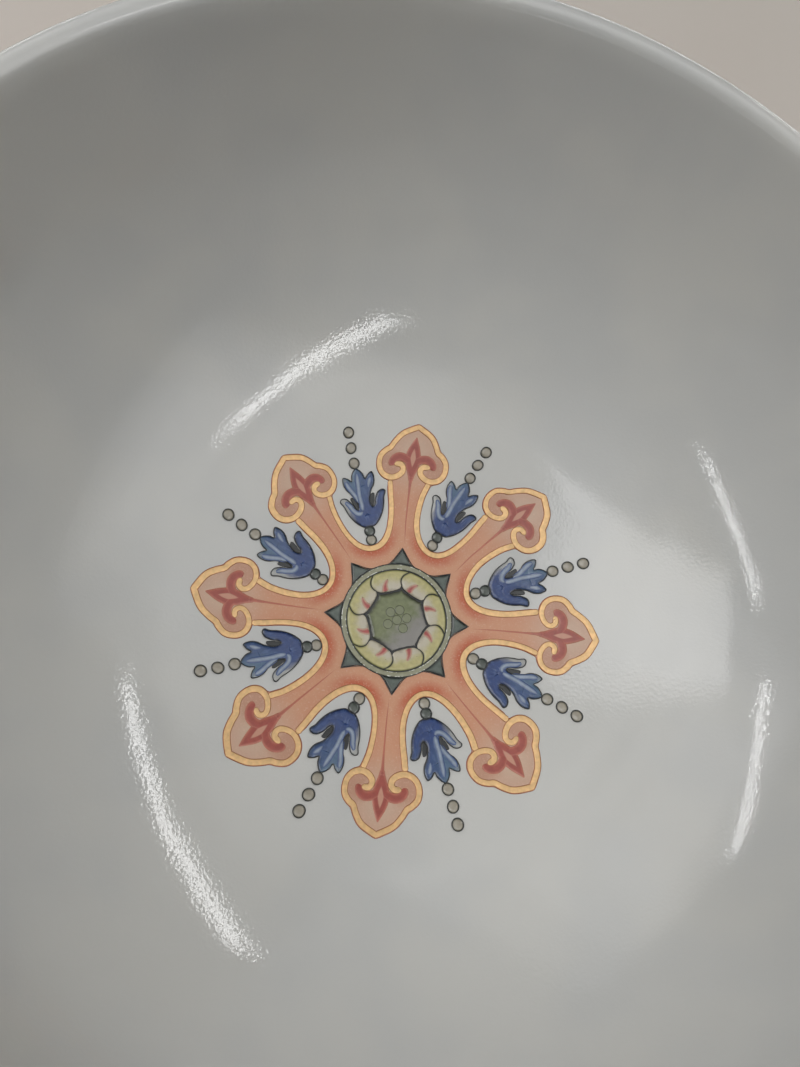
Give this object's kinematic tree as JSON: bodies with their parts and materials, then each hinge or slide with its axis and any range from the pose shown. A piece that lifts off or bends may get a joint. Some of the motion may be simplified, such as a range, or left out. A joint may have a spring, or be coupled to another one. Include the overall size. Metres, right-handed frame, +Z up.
{
  "type": "sgraffito bowl",
  "caption": "Round porcelain bowl with a plain round lip and a foot ring, white glaze and an enamel and gold rosette inside, and a scratched rose ground outside, for serving or display.",
  "frame": {"origin": "centre of the circle on which the foot ring stands", "axes": "+Z up along the axis of the bowl, +Y towards the top of the picture"},
  "size_m": [0.15, 0.15, 0.064],
  "materials": {
    "porcelain": "unglazed white clay, seen only on the rim of the foot",
    "white_glaze": "clear gloss glaze over white clay",
    "rose_enamel": "rose enamel scratched through in a feathery scroll",
    "coral_enamel": "thin iron-red wash, darker along the gold",
    "dark_drawing": "fine black-green drawing under the enamels",
    "star_enamel": "dark green enamel",
    "ring_enamel": "pale green enamel",
    "pod_enamel": "olive enamel",
    "seed_enamel": "pale olive enamel",
    "petal_enamel": "pale yellow-green enamel",
    "vein_enamel": "thin red enamel stroke",
    "bead_enamel": "pale grey-green enamel",
    "dark_bead_enamel": "dark blue-green enamel",
    "white_enamel": "opaque white enamel",
    "gold": "burnished gold line",
    "red_enamel": "iron-red enamel",
    "blue_enamel": "cobalt blue enamel"
  },
  "bodies": {
    "root": {"porcelain_body": "porcelain", "inner_glaze": "white_glaze", "outer_glaze": "white_glaze", "base_glaze": "white_glaze", "sgraffito_ground": "rose_enamel", "coral_wash": "coral_enamel", "medallion_drawing": "dark_drawing", "bay_drawing": "dark_drawing", "green_star": "star_enamel", "green_ring": "ring_enamel", "seed_pod": "pod_enamel", "seeds": "seed_enamel", "petal_veins": "vein_enamel", "pale_beads": "bead_enamel", "dark_beads": "dark_bead_enamel", "outer_beads": "bead_enamel", "leaf_lights": "white_enamel", "gold_head_1": "gold", "gold_head_2": "gold", "gold_head_3": "gold", "gold_head_4": "gold", "gold_head_5": "gold", "gold_head_6": "gold", "gold_head_7": "gold", "gold_head_8": "gold", "gold_bay_1": "gold", "gold_bay_2": "gold", "gold_bay_3": "gold", "gold_bay_4": "gold", "gold_bay_5": "gold", "gold_bay_6": "gold", "gold_bay_7": "gold", "gold_bay_8": "gold", "red_lily_1": "red_enamel", "red_lily_2": "red_enamel", "red_lily_3": "red_enamel", "red_lily_4": "red_enamel", "red_lily_5": "red_enamel", "red_lily_6": "red_enamel", "red_lily_7": "red_enamel", "red_lily_8": "red_enamel", "petal_1": "petal_enamel", "petal_2": "petal_enamel", "petal_3": "petal_enamel", "petal_4": "petal_enamel", "petal_5": "petal_enamel", "petal_6": "petal_enamel", "petal_7": "petal_enamel", "petal_8": "petal_enamel", "blue_leaf_1": "blue_enamel", "blue_leaf_2": "blue_enamel", "blue_leaf_3": "blue_enamel", "blue_leaf_4": "blue_enamel", "blue_leaf_5": "blue_enamel", "blue_leaf_6": "blue_enamel", "blue_leaf_7": "blue_enamel", "blue_leaf_8": "blue_enamel"}
  },
  "joints": []
}
